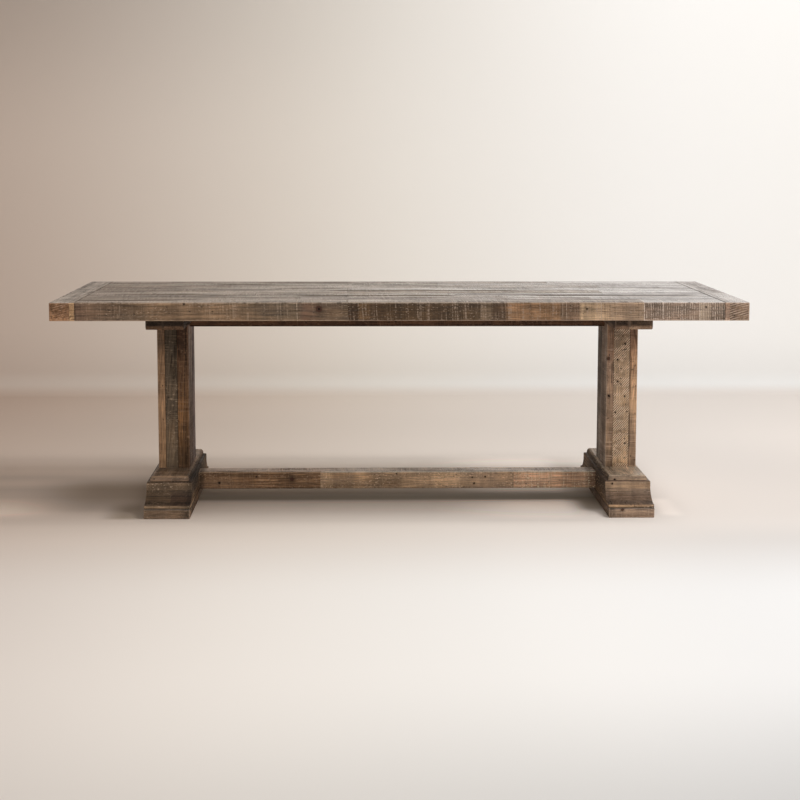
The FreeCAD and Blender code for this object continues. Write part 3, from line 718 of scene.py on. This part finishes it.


# Posts
# Each post is three laminations glued side by side, and the one that faces the stretcher is itself
# made of two boards. The middle lamination runs on as a tenon into the foot and into the cleat.

# In most boards the stripes darken towards the top, painted shade under the table top. The flank tones of
# the faces turned to the middle are painted light and shade.
POST_LOOKS = {
    "left_post_outer_board": (
        (150, 117, 87),
        {
            "rings": 0.3, "flecks": 0.3,
            "stripes": ((0.0, (150, 117, 87)), (0.7, (150, 117, 87)), (1.0, (98, 76, 56))),
        },
    ),
    "left_post_core_board": (
        (112, 91, 67),
        {
            "saw": 0.6, "streaks": 0.6, "knots": 0.12, "flecks": 1.0, "grey": 0.5, "spread": 0.5,
            "stripes": (
                (0.0, (126, 102, 76)), (0.6, (116, 92, 67)), (0.8, (92, 74, 53)), (1.0, (62, 51, 34)),
            ),
        },
    ),
    "left_post_inner_front_board": (
        (114, 80, 52),
        {
            "rings": 1.0, "streaks": 0.6, "wobble": 0.04, "pith": (0.0, 0.05, -0.04),
            "flank": (143, 115, 99), "saw": 0.4,
            "stripes": (
                (0.0, (136, 98, 60)), (0.45, (124, 88, 55)), (0.75, (96, 67, 44)), (1.0, (80, 52, 36)),
            ),
        },
    ),
    "left_post_inner_back_board": ((96, 80, 70), {"streaks": 0.7, "flank": (134, 109, 101)}),
    "right_post_outer_board": (
        (180, 141, 108),
        {
            "rings": 0.3, "saw": 0.4, "flecks": 0.3,
            "stripes": (
                (0.0, (172, 138, 109)), (0.5, (200, 159, 121)), (0.72, (201, 158, 121)),
                (1.0, (192, 147, 121)),
            ),
        },
    ),
    "right_post_core_board": (
        (178, 147, 116),
        {
            "saw": 1.3, "saw_spacing": 0.0092, "even": 0.95, "marks": (1.0, -1.15, -1.15), "flip": 0.14,
            "spread": 1.0,
            "stripes": (
                (0.0, (199, 165, 129)), (0.6, (195, 161, 126)), (0.78, (156, 128, 99)),
                (0.92, (94, 76, 57)),
            ),
            "rings": 0.25, "streaks": 0.2, "cracks": 0.2, "knots": 0.0, "flecks": 0.5, "pits": 1.0,
            "holes": (
                (0.8199, -0.125, 0.5811, 0.0036), (0.7944, -0.125, 0.5233, 0.0034),
                (0.7950, -0.125, 0.4435, 0.0034), (0.8210, -0.125, 0.3894, 0.0034),
                (0.8070, -0.125, 0.4900, 0.0018), (0.7880, -0.125, 0.3320, 0.0026),
                (0.8310, -0.125, 0.3330, 0.0022),
            ),
        },
    ),
    "right_post_inner_front_board": (
        (153, 122, 96),
        {
            "rings": 0.4, "knots": 0.0, "flecks": 0.4, "flank": (151, 132, 116),
            "stripes": (
                (0.0, (172, 139, 109)), (0.55, (162, 128, 100)), (0.8, (150, 113, 87)),
                (1.0, (112, 86, 64)),
            ),
            "holes": ((0.7643, -0.125, 0.3906, 0.005),), "spots": ((0.7599, -0.125, 0.5270, 0.0075),),
        },
    ),
    "right_post_inner_back_board": ((100, 88, 76), {"streaks": 0.7, "flank": (146, 131, 117)}),
}
for count, (board, (tint, special)) in enumerate(POST_LOOKS.items()):
    side = board.split("_")[0]
    corners = [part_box(name) for name in POST_LOOKS if name.startswith(side)]
    post_box = (
        Vector([min(low[axis] for low, high in corners) for axis in range(3)]),
        Vector([max(high[axis] for low, high in corners) for axis in range(3)]),
    )
    special = {"seam_width": 0.0014, "wear": 0.35, **special}
    finish_board(board, tint, "z", seed=81.0 + 2.3 * count, whole=post_box, **special)


# Cleats
# Two boards lie side by side on each post, under the top. Their lower ends are bevelled, and
# hexagon-head screws in counterbores run up through them into the planks.

# The tone of each board, and how much paler its bevel is made, as painted light from the floor below.
# The faces turned to the middle get a darker tone, painted shade.
CLEAT_LOOKS = {
    "left_cleat_inner_board": ((51, 38, 28), 4.9), "left_cleat_outer_board": ((55, 41, 30), 4.9),
    "right_cleat_inner_board": ((78, 60, 46), 4.2), "right_cleat_outer_board": ((88, 69, 53), 4.2),
}
for count, (board, (tint, bevel_painted_light)) in enumerate(CLEAT_LOOKS.items()):
    finish_board(
        board,
        tint,
        "y",
        seed=113.0 + 1.6 * count,
        flank=toned_levels(tint, 0.7),
        lines=(("Z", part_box(board)[0].z + 0.005, 0.0125, bevel_painted_light),),
        saw=0.4,
        knots=0.05,
        wear=0.8,
        wear_width=0.006,
    )


# Feet
# A base block lies on the floor. Two boards with a bead, a cove and a round worked on their ends
# stand on it side by side, and a cap moulding carries the post.

FOOT_LOOKS = {
    "left_foot_base": ((132, 107, 85), {"flecks": 0.6}),
    "left_foot_inner_body": ((141, 114, 87), {"top": (80, 62, 50), "flecks": 1.0}),
    "left_foot_outer_body": ((141, 114, 87), {"top": (100, 80, 62), "flecks": 1.0}),
    "left_foot_cap": ((134, 107, 84), {"top": (158, 129, 103), "flecks": 1.0, "rings": 0.15}),
    "right_foot_base": ((151, 124, 102), {"spots": ((0.7774, -0.424, 0.029, 0.006),), "flecks": 0.6}),
    "right_foot_inner_body": (
        (166, 134, 103),
        {"top": (112, 91, 75), "holes": ((0.7543, -0.32, 0.103, 0.0035),), "cracks": 0.8, "flecks": 0.8},
    ),
    "right_foot_outer_body": ((166, 133, 102), {"top": (112, 91, 75), "cracks": 0.8, "flecks": 0.8}),
    # The right cap's top is far paler than its sides: painted light where the lamp reaches it.
    "right_foot_cap": (
        (160, 133, 108),
        {"top": (206, 181, 155), "rings": 0.15, "holes": ((0.7645, -0.309, 0.115, 0.0038),), "cracks": 0.3},
    ),
}
# On the left, painted shade darkens the quirk above the bead and a band of the cap. On both sides the
# joint above the base is dark, and painted light makes the bead paler; on the right it also makes two
# bands of the body and the lower edge of the cap paler.
MOULDING_LIGHT_AND_SHADE = {
    "left": (
        ("Z", 0.0485, 0.0042, 0.5), ("Z", 0.0405, 0.0045, 1.3), ("Z", 0.034, 0.002, 0.5),
        ("Z", 0.121, 0.008, 0.8),
    ),
    "right": (
        ("Z", 0.056, 0.012, 1.16), ("Z", 0.0405, 0.0045, 1.45), ("Z", 0.034, 0.002, 0.65),
        ("Z", 0.1155, 0.0035, 1.4), ("Z", 0.108, 0.008, 1.12),
    ),
}
# Tone of the flanks, the faces turned to the middle, as shares of the board's own: of bases and bodies,
# of the caps, and low down. They are painted shade and light: darker high up, paler near the floor and
# at the back.
FLANK_SHARES = {"left": (0.58, 0.74, 1.2), "right": (0.43, 0.59, 0.85)}
FOOT_SEED_STEP = 2.7
for count, (board, (tint, special)) in enumerate(FOOT_LOOKS.items()):
    side = board.split("_")[0]
    usual_share, cap_share, low_share = FLANK_SHARES[side]
    foot_low, foot_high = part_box(f"{side}_foot_base")
    inner_edge = foot_high.x if side == "left" else foot_low.x
    foot_high.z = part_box(f"{side}_foot_cap")[1].z
    # Both boards of a body show the same grain, as if sawn from one.
    seed = 131.0 + FOOT_SEED_STEP * count
    if board.endswith("outer_body"):
        seed -= FOOT_SEED_STEP
    shared = {
        "flank": toned_levels(tint, cap_share if board.endswith("cap") else usual_share),
        "flank_low": toned_levels(tint, low_share),
        # Painted shade darkens each board near the foot's inner side.
        "lines": (*MOULDING_LIGHT_AND_SHADE[side], ("X", inner_edge, 0.03, 0.65)),
        "ring_spacing": 0.0075, "saw": 0.2, "knots": 0.03, "seam": 0.4, "wear": 0.35, "streaks": 0.4,
        "cracks": 0.3,
    }
    finish_board(board, tint, "layered", seed, whole=(foot_low, foot_high), **{**shared, **special})


# Stretcher
# A thin facing in three boards is glued on a thick back board. The back board's stub tenons go into
# both feet, and a bolt through each foot pulls it home on a square nut.

STRETCHER_LOOKS = {
    "stretcher_facing_left": (
        (142, 108, 78),
        {
            "saw": 0.3, "top": (178, 144, 113), "streaks": 0.5,
            "holes": ((-0.6545, -0.048, 0.0608, 0.0045), (-0.5176, -0.048, 0.0831, 0.0035)),
            "spots": ((-0.3874, -0.048, 0.0742, 0.008),),
        },
    ),
    "stretcher_facing_middle": (
        (182, 147, 113),
        {
            "saw": 0.5, "wax": 0.35, "rings": 0.35,
            "stripes": (
                (0.0, (176, 144, 113)), (0.05, (178, 145, 110)), (0.07, (177, 141, 106)),
                (0.264, (187, 150, 113)), (0.27, (182, 149, 116)), (0.585, (180, 148, 116)),
                (0.595, (198, 162, 125)), (0.78, (192, 156, 120)), (0.8, (183, 148, 115)),
                (1.0, (189, 152, 117)),
            ),
            "holes": (
                (-0.0031, -0.048, 0.0932, 0.0026), (0.2746, -0.048, 0.0791, 0.003),
                (0.3229, -0.048, 0.0808, 0.0032), (0.2817, -0.048, 0.0567, 0.0035),
            ),
        },
    ),
    "stretcher_facing_right": ((205, 161, 127), {"saw": 0.4, "streaks": 0.25, "wax": 0.35}),
    "stretcher_back_board": (
        (120, 104, 90),
        {"wax": 0.2, "top": (186, 152, 127), "top_end": ((205, 179, 155), -0.35, -0.1)},
    ),
}
stretcher_box = (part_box("stretcher_facing_left")[0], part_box("stretcher_back_board")[1])
# Painted shade darkens the lower edge and both ends, where the stretcher meets the feet.
painted_shade_edges = (
    ("Z", stretcher_box[0].z, 0.007, 0.5),
    ("X", stretcher_box[0].x, 0.03, 0.4),
    ("X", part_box("stretcher_facing_right")[1].x, 0.045, 0.4),
)
for count, (board, (tint, special)) in enumerate(STRETCHER_LOOKS.items()):
    # Upper faces are paler, painted light and sheen; on the back board paler still from the middle on.
    special = {"top": (204, 178, 154), "wear": 0.25, "seam_width": 0.0012, "lines": painted_shade_edges, **special}
    finish_board(board, tint, "x", seed=163.0 + 2.1 * count, whole=stretcher_box, **special)


# Upper rail
# One dark board on edge under the top, tenoned into both posts and notched under the cleats.

# Painted shade darkens the lower edge.
painted_shade_edge = ("Z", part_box("upper_rail")[0].z + 0.002, 0.005, 0.35)
finish_board(
    "upper_rail", (104, 71, 47), "x", seed=177.0, saw=0.3, knots=0.05, wear=0.2, grey=0.1, lines=(painted_shade_edge,)
)


# Loose tenons
# Planed hardwood slips in the mortises between the planks and the breadboard ends.

finish_board("breadboard_loose_tenons", (176, 142, 100), "x", seed=181.0, saw=0.1, knots=0.0, grey=0.0)


# Screws, bolts, washers and nuts
# Zinc-plated steel, dulled by handling, with fine turning lines.

def make_steel():
    """Dull zinc with fine lines and a few dark spots."""
    material, tree = new_material("dull_zinc")
    position = signals(tree.nodes.new("ShaderNodeTexCoord"))["Object"]
    cloud = noise(position, (90.0, 90.0, 90.0), detail=4.0, roughness=0.65)
    lines = noise(position, (900.0, 900.0, 140.0), detail=2.0)
    colour = blend(ease(cloud, 0.35, 0.7), display(150, 149, 146), display(104, 102, 98))
    spots = ease(noise(position, (420.0, 420.0, 420.0)), 0.66, 0.74)
    colour = blend(spots * 0.6, colour, display(74, 58, 44))
    roughness = ease(cloud, 0.3, 0.7, 0.32, 0.55)
    bump = build("ShaderNodeBump", "Normal", {"Height": lines, "Strength": 0.25, "Distance": 0.0003})
    finish = {"Base Color": colour, "Metallic": 0.95, "Roughness": roughness, "Normal": bump}
    surface = add_node(tree, "ShaderNodeBsdfPrincipled", finish)
    add_node(tree, "ShaderNodeOutputMaterial", {"Surface": Signal(surface.outputs["BSDF"])})
    return material


steel = make_steel()
for fastener in ("top_screws", "stretcher_bolts", "stretcher_bolt_washers", "stretcher_square_nuts"):
    clothe(fastener, steel)


# Floor, wall, light and camera
# A pale studio floor that bends up into a wall behind the table. A soft square lamp hangs high on
# the right, a wide one stands in front, and the camera looks on from a little above the top.

FLOOR_HALF_WIDTH = 9.0
FLOOR_FRONT = -8.0
WALL_PLACE = 2.95
WALL_HEIGHT = 6.0
BEND_RADIUS = 0.12
BEND_STEPS = 12

# The paper lies this far above the soles of the feet, so that light and the camera reach them from below.
SOLE_SHOW_THROUGH = 0.0002

# Painted shadow: how the floor's tone differs under the table, over its depth: between the feet,
# what is added to that on the right, at the right foot, and outside the left foot
BENEATH = (
    (-0.46, 1.0), (-0.31, 1.2), (-0.24, 1.36), (-0.16, 1.46), (-0.124, 1.4), (-0.084, 1.02),
    (-0.065, 0.64), (-0.045, 0.5), (-0.005, 0.48), (0.036, 0.56), (0.12, 0.78), (0.3, 1.0), (0.5, 1.15),
    (0.63, 1.38), (0.71, 1.28), (0.86, 1.0),
)
BENEATH_RIGHT = (
    (-0.46, 0.0), (-0.31, 0.4), (-0.24, 0.8), (-0.16, 0.85), (-0.12, 0.75), (-0.065, 0.0), (0.04, 0.0),
    (0.16, 0.95), (0.3, 0.4), (0.6, 0.4), (0.71, 0.5), (0.95, 0.0),
)
AT_RIGHT_FOOT = (
    (-0.46, 1.0), (-0.38, 1.2), (-0.304, 1.2), (-0.24, 0.7), (-0.153, 0.55), (-0.035, 0.36),
    (0.087, 0.78), (0.15, 1.15), (0.719, 1.4), (0.78, 1.28), (0.87, 1.1), (1.0, 1.0),
)
OUTSIDE_LEFT = (
    (-0.5, 1.0), (-0.31, 1.19), (-0.16, 1.0), (-0.005, 0.7), (0.16, 0.6), (0.225, 0.66), (0.356, 0.99),
    (0.493, 1.32), (0.563, 1.38), (0.707, 1.26), (0.857, 1.02), (0.93, 1.0),
)

# Places along the table between which these tones fade in or out
ON_THE_RIGHT = (0.1, 0.5)
BY_RIGHT_FOOT = (0.59, 0.69)
PAST_RIGHT_FOOT = (0.92, 0.8)
PAST_LEFT_FOOT = (-0.86, -0.94)
PAST_LEFT_END = (-2.6, -1.6)


def make_sweep():
    """Floor and wall in one sheet with a round bend between them."""
    profile = [(FLOOR_FRONT, 0.0)]
    for step in range(BEND_STEPS + 1):
        angle = math.pi / 2 * step / BEND_STEPS
        y = WALL_PLACE - BEND_RADIUS + BEND_RADIUS * math.sin(angle)
        profile.append((y, BEND_RADIUS * (1 - math.cos(angle))))
    profile.append((WALL_PLACE, WALL_HEIGHT))
    points = [(x, y, z) for x in (-FLOOR_HALF_WIDTH, FLOOR_HALF_WIDTH) for y, z in profile]
    rows = len(profile)
    faces = [(i, i + rows, i + rows + 1, i + 1) for i in range(rows - 1)]
    mesh = bpy.data.meshes.new("studio_sweep")
    mesh.from_pydata(points, [], faces)
    mesh.shade_smooth()
    sweep = bpy.data.objects.new("studio_sweep", mesh)
    bpy.context.scene.collection.objects.link(sweep)
    return sweep


def tone_under_table(x, y):
    """Tone of the paper under the table, which makes the shadow as deep there as in the photograph."""
    def level(stops):
        return split(ramp(y, stops))["X"]

    beneath = level(BENEATH_RIGHT) * ease(x, *ON_THE_RIGHT) + level(BENEATH)
    beneath = (level(AT_RIGHT_FOOT) - beneath) * ease(x, *BY_RIGHT_FOOT) + beneath
    beneath = (beneath - 1.0) * ease(x, *PAST_RIGHT_FOOT) + 1.0
    # Painted light: a paler strip runs along the right of the right foot.
    fringe = ease(x, 0.9, 0.95) * ease(x, 1.02, 0.96) * ease(y, -0.02, -0.12) * ease(y, -0.42, -0.33)
    beneath = fringe * 0.19 + beneath

    # Far on the left the painted shadow is paler, and by the front corner of the left foot it is deeper.
    far_left = ease(x, -1.1, -1.45) * ease(y, -0.45, -0.2) * ease(y, 0.45, 0.2)
    corner = ease(x, -1.07, -0.96) * ease(y, -0.06, -0.24) * ease(y, -0.45, -0.39)
    outside = level(OUTSIDE_LEFT) * (far_left * 0.9 + 1.0) * (corner * -0.42 + 1.0)
    outside = (outside - 1.0) * ease(x, *PAST_LEFT_END) + 1.0
    return (outside - beneath) * ease(x, *PAST_LEFT_FOOT) + beneath


def make_sweep_material():
    """Matt paper with painted light and shade, which goes from taupe on the left to near white on the right.
    """
    material, tree = new_material("pale_paper")
    place = split(signals(tree.nodes.new("ShaderNodeTexCoord"))["Object"])
    x, y, z = place["X"], place["Y"], place["Z"]
    colour = blend(ease(x, -0.8, 1.6), display(246, 240, 231), display(252, 251, 249))
    colour = blend(ease(x, 0.3, -2.5), colour, display(218, 200, 186))

    # Painted shade and light: the floor is browner and darker behind the table than in front of it, dims
    # towards its front and beside the table on the right, and before the table is darker on the right and
    # paler on the left.
    forward = ease(y, -0.3, -1.6)
    floor_tint = blend(forward, (0.965, 0.9, 0.862, 1.0), (1.02, 1.02, 1.04, 1.0))
    nearest = ease(y, -2.3, -3.9) * ease(x, -1.2, 1.2, 0.18, 0.38)
    beside = ease(y, 1.6, 0.4) * ease(y, -1.8, -0.7) * ease(x, 0.6, 1.6, 0.0, 0.1)
    before = ease(y, -0.45, -0.85) * ease(y, -4.0, -2.8)
    uneven = ease(x, 0.3, 1.1, 0.0, -0.08) + ease(x, 0.3, -0.7, 0.0, 0.075)
    dim = forward * 0.06 + 0.845 - nearest - beside + before * uneven

    # Where the painted shadow darkens the floor, it is also browner.
    painted_shadow = tone_under_table(x, y)
    brown = most(1.0 - painted_shadow, 0.0) * 0.4
    floor_tint = blend(1.0, floor_tint, join(1.0, brown * -0.4 + 1.0, 1.0 - brown), "MULTIPLY")
    dim = dim * painted_shadow
    on_floor = blend(1.0, floor_tint, join(dim, dim, dim), "MULTIPLY")

    # Painted shade: the wall dims towards the floor, and towards its top on the left.
    wall_shade = ease(z, 0.0, 0.4, 0.9, 1.0) - ease(z, 1.2, 2.3) * ease(x, 1.4, -2.4, 0.0, 0.3)
    on_wall = join(wall_shade, wall_shade, wall_shade)
    colour = blend(1.0, colour, blend(ease(z, 0.005, 0.06), on_floor, on_wall), "MULTIPLY")
    finish = {"Base Color": colour, "Roughness": 0.9, "Specular IOR Level": MATT_SPECULAR}
    paper = add_node(tree, "ShaderNodeBsdfPrincipled", finish)

    # From behind or below, the sheet lets the camera see the table.
    behind = signals(tree.nodes.new("ShaderNodeNewGeometry"))["Backfacing"]
    watched = signals(tree.nodes.new("ShaderNodeLightPath"))["Is Camera Ray"]
    clear = tree.nodes.new("ShaderNodeBsdfTransparent")
    layers = {0: behind * watched, 1: Signal(paper.outputs["BSDF"]), 2: Signal(clear.outputs["BSDF"])}
    surface = build("ShaderNodeMixShader", "Shader", layers)
    add_node(tree, "ShaderNodeOutputMaterial", {"Surface": surface})
    return material


sweep = make_sweep()
sweep.location.z = SOLE_SHOW_THROUGH
sweep.data.materials.append(make_sweep_material())


def add_lamp(name, place, aim, width, height, power, colour):
    """Soft rectangular lamp that points at a place."""
    data = bpy.data.lights.new(name, "AREA")
    data.shape = "RECTANGLE"
    data.size = width
    data.size_y = height
    data.energy = power
    data.color = colour
    lamp = bpy.data.objects.new(name, data)
    bpy.context.scene.collection.objects.link(lamp)
    lamp.location = place
    lamp.rotation_euler = (Vector(aim) - Vector(place)).to_track_quat("-Z", "Y").to_euler()


add_lamp("high_lamp", (3.1, -1.3, 5.2), (0.0, 0.0, 0.4), 2.2, 2.0, 268.0, (1.0, 0.998, 0.994))
add_lamp("front_lamp", (0.5, -7.2, 3.7), (0.0, 0.0, 0.4), 4.0, 2.4, 165.0, (1.0, 0.985, 0.963))

AIR_LIGHT = 0.22
AIR_SEEN = 0.75
AIR_MIRRORED = 0.25

world = bpy.data.worlds.new("studio_air")
world.use_nodes = True
air = world.node_tree.nodes["Background"]
air.inputs["Color"].default_value = display(240, 238, 234)
ray = signals(world.node_tree.nodes.new("ShaderNodeLightPath"))
seen = ray["Is Glossy Ray"] * AIR_MIRRORED + ray["Is Camera Ray"]
feed(air.inputs["Strength"], seen * AIR_SEEN + AIR_LIGHT)
bpy.context.scene.world = world

CAMERA_PLACE = (-0.1501, -6.8234, 1.2721)
CAMERA_YAW = 0.02343
CAMERA_PITCH = 0.13281
CAMERA_ROLL = 0.00135
CAMERA_LENS = 84.12
SENSOR_WIDTH = 36.0

camera_data = bpy.data.cameras.new("camera")
camera_data.sensor_width = SENSOR_WIDTH
camera_data.lens = CAMERA_LENS
camera = bpy.data.objects.new("camera", camera_data)
bpy.context.scene.collection.objects.link(camera)
turned = (
    Matrix.Rotation(-CAMERA_YAW, 4, "Z")
    @ Matrix.Rotation(math.pi / 2 - CAMERA_PITCH, 4, "X")
    @ Matrix.Rotation(CAMERA_ROLL, 4, "Z")
)
camera.matrix_world = Matrix.Translation(CAMERA_PLACE) @ turned
bpy.context.scene.camera = camera
bpy.context.scene.view_settings.view_transform = "Standard"
